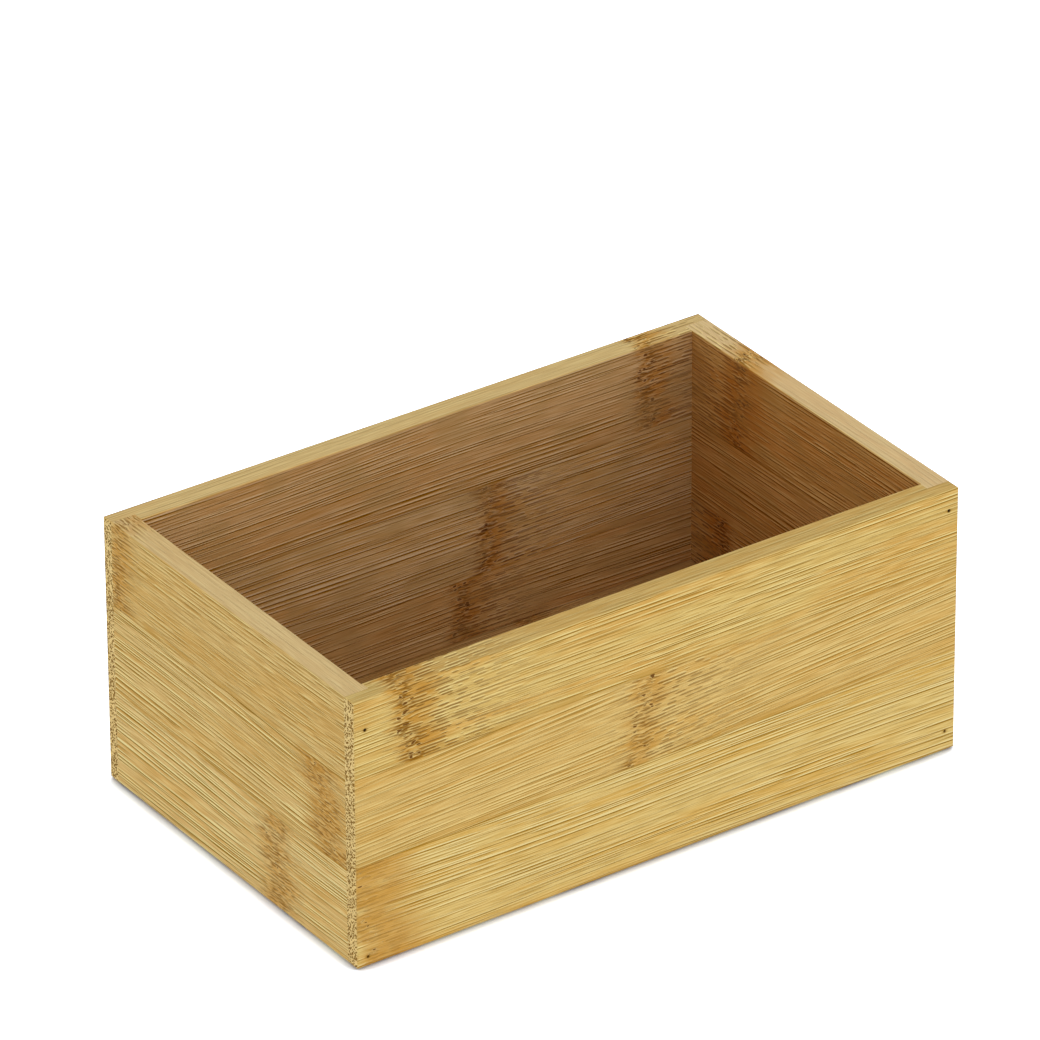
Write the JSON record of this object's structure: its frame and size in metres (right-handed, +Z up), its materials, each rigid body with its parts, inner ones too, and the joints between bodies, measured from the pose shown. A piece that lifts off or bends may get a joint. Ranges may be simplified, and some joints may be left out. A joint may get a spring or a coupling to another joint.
{
  "type": "storage box",
  "caption": "Open-topped rectangular bamboo storage box with edge-glued walls, rabbeted and pinned corners, and a floor board held in a groove.",
  "frame": {"origin": "centre of the base, on the surface that the box stands on", "axes": "+X along the length to the right of someone who faces the front wall, +Y from the front wall to the back wall, +Z up through the open top"},
  "size_m": [0.18, 0.11, 0.075],
  "materials": {
    "bamboo_gold": "sanded bamboo, thin matte clear coat",
    "bamboo_straw": "sanded bamboo, thin matte clear coat",
    "bamboo_pale": "sanded bamboo, thin matte clear coat",
    "pin_steel": "dull, slightly darkened"
  },
  "bodies": {
    "root": {"front_top_strip": "bamboo_gold", "front_middle_strip": "bamboo_straw", "front_bottom_strip": "bamboo_pale", "back_top_strip": "bamboo_straw", "back_middle_strip": "bamboo_pale", "back_bottom_strip": "bamboo_gold", "left_top_strip": "bamboo_gold", "left_middle_strip": "bamboo_straw", "left_bottom_strip": "bamboo_pale", "right_top_strip": "bamboo_straw", "right_middle_strip": "bamboo_gold", "right_bottom_strip": "bamboo_pale", "floor_front_strip": "bamboo_straw", "floor_near_strip": "bamboo_pale", "floor_far_strip": "bamboo_gold", "floor_back_strip": "bamboo_straw", "corner_pins": "pin_steel"}
  },
  "joints": []
}
